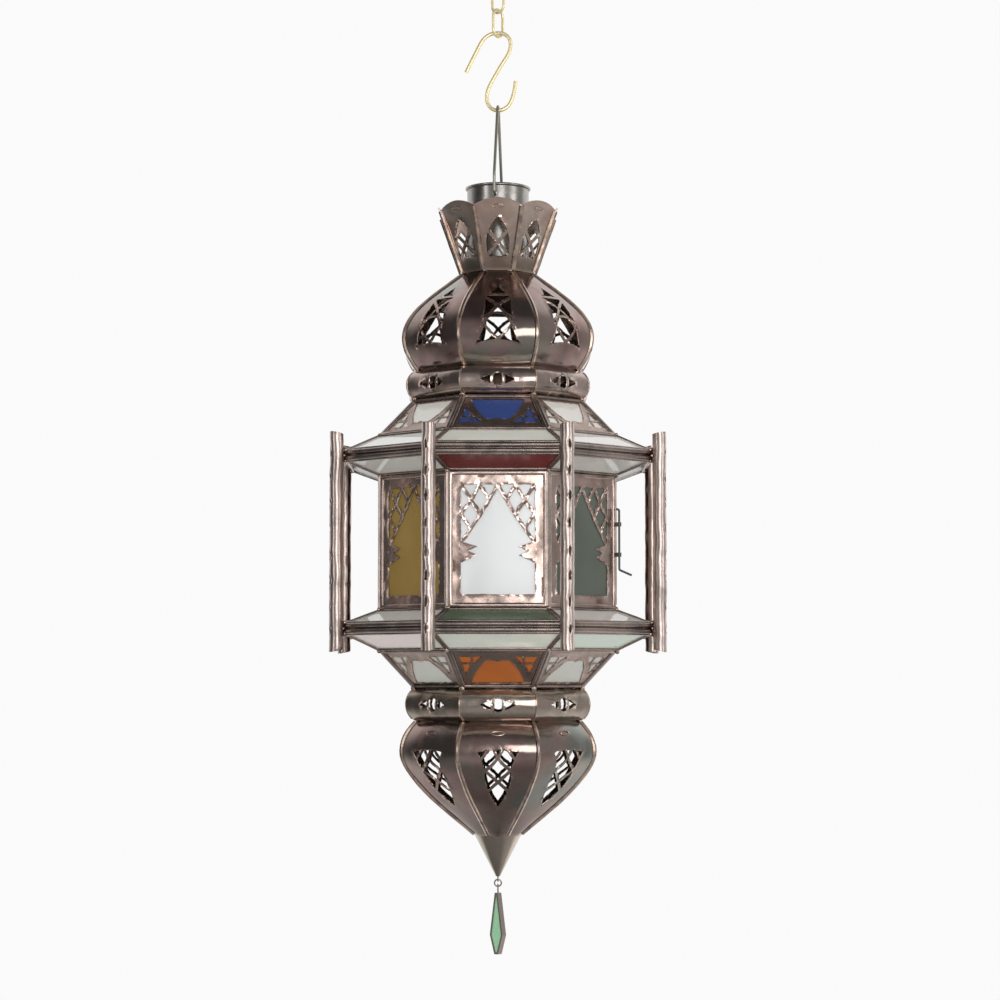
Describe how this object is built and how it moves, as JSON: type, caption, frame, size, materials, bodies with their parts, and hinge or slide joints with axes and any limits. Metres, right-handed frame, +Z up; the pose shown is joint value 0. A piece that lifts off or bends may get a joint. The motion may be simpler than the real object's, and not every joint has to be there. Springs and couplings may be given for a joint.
{
  "type": "hanging candle lantern",
  "caption": "Eight-sided hanging festive candle lantern of pierced dark metal and coloured glass, with domes, hinged door, candle cup, bail, chain hook and glass pendant.",
  "frame": {"origin": "the point inside the top chain link where a ceiling hook carries the lantern, on the lantern's axis", "axes": "+Z up along the lantern's axis; the front glass face looks along -Y; the door is on the +X face"},
  "size_m": [0.2422, 0.2422, 0.7224],
  "materials": {
    "plain_tin": "plain tinned sheet, satin",
    "dark_sheet": "dark oxidised sheet with a copper heat tint, glossy",
    "came_metal": "soldered came, dark silver with a copper tint",
    "overlay_metal": "pierced sheet, dull silver with a copper tint",
    "pillar_metal": "hammered bright steel with dark hollows",
    "steel_wire": "drawn steel wire, dark",
    "brass_wire": "worn brass wire",
    "glass_clear": "clear, faintly green",
    "glass_frosted": "frosted white",
    "glass_amber": "amber, rippled",
    "glass_green": "grey green, rippled",
    "glass_blue": "blue",
    "glass_red": "dark red",
    "glass_orange": "orange",
    "glass_pale_green": "pale green"
  },
  "bodies": {
    "chain_top": {"chain_link_upper": "brass_wire"},
    "chain_lower": {"chain_link_lower": "brass_wire"},
    "hook": {"s_hook": "brass_wire"},
    "bail": {"bail_wire": "steel_wire"},
    "door": {"door_frame": "came_metal", "door_pane": "glass_amber", "door_overlay": "overlay_metal", "door_hinge_leaves": "came_metal"},
    "catch": {"door_catch": "steel_wire"},
    "ring": {"pendant_ring": "steel_wire"},
    "pendant": {"pendant_frame": "came_metal", "pendant_panes": "glass_pale_green"},
    "lantern": {"candle_cup": "plain_tin", "candle_tray": "plain_tin", "catch_sleeves": "steel_wire", "corner_pillars": "pillar_metal", "crown_petals": "dark_sheet", "door_hinge_pins": "steel_wire", "door_lintel_and_sill": "came_metal", "drum_frames": "came_metal", "drum_overlays": "overlay_metal", "drum_panes_amber": "glass_amber", "drum_panes_frosted": "glass_frosted", "drum_panes_green": "glass_green", "frame_hinge_leaves": "came_metal", "lower_dome_gores": "dark_sheet", "lower_eave_frames": "came_metal", "lower_eave_panes": "glass_clear", "lower_rim_bars": "came_metal", "lower_ring_segments": "dark_sheet", "lower_roof_frames": "came_metal", "lower_roof_overlays": "overlay_metal", "lower_roof_panes_blue": "glass_blue", "lower_roof_panes_clear": "glass_clear", "lower_roof_panes_orange": "glass_orange", "lower_soffit_frames": "came_metal", "lower_soffit_panes_clear": "glass_clear", "lower_soffit_panes_green": "glass_green", "lower_soffit_panes_red": "glass_red", "neck_plate": "dark_sheet", "tip_cone": "dark_sheet", "tip_eye": "steel_wire", "top_collar": "dark_sheet", "tray_straps": "plain_tin", "upper_dome_gores": "dark_sheet", "upper_eave_frames": "came_metal", "upper_eave_panes": "glass_clear", "upper_rim_bars": "came_metal", "upper_ring_segments": "dark_sheet", "upper_roof_frames": "came_metal", "upper_roof_overlays": "overlay_metal", "upper_roof_panes_amber": "glass_amber", "upper_roof_panes_blue": "glass_blue", "upper_roof_panes_clear": "glass_clear", "upper_soffit_frames": "came_metal", "upper_soffit_panes_clear": "glass_clear", "upper_soffit_panes_green": "glass_green", "upper_soffit_panes_red": "glass_red"}
  },
  "joints": [
    {"name": "chain_swing", "type": "hinge", "parent": "chain_top", "child": "chain_lower", "pos_m": [0, 0, -0.0197], "axis": [-0.766, 0.6428, 0], "range_deg": [-60, 60]},
    {"name": "hook_swing", "type": "hinge", "parent": "chain_lower", "child": "hook", "pos_m": [0, 0, -0.03805], "axis": [0.6428, 0.766, 0], "range_deg": [-25, 25]},
    {"name": "bail_swing", "type": "hinge", "parent": "hook", "child": "bail", "pos_m": [0, 0, -0.09405], "axis": [1, 0, 0], "range_deg": [-60, 60]},
    {"name": "lantern_tilt", "type": "hinge", "parent": "bail", "child": "lantern", "pos_m": [0, 0, -0.16127], "axis": [0.1045, 0.9945, 0], "range_deg": [-80, 80]},
    {"name": "door_hinge", "type": "hinge", "parent": "lantern", "child": "door", "pos_m": [0.08795, 0.03643, -0.42027], "axis": [0, 0, 1], "range_deg": [0, 95]},
    {"name": "catch_turn", "type": "hinge", "parent": "lantern", "child": "catch", "pos_m": [0.08804, -0.03856, -0.42027], "axis": [0, 0, 1], "range_deg": [0, 90]},
    {"name": "ring_swing", "type": "hinge", "parent": "lantern", "child": "ring", "pos_m": [0, 0, -0.66727], "axis": [0, 1, 0], "range_deg": [-60, 60]},
    {"name": "pendant_swing", "type": "hinge", "parent": "ring", "child": "pendant", "pos_m": [0, 0, -0.67097], "axis": [1, 0, 0], "range_deg": [-60, 60]}
  ]
}
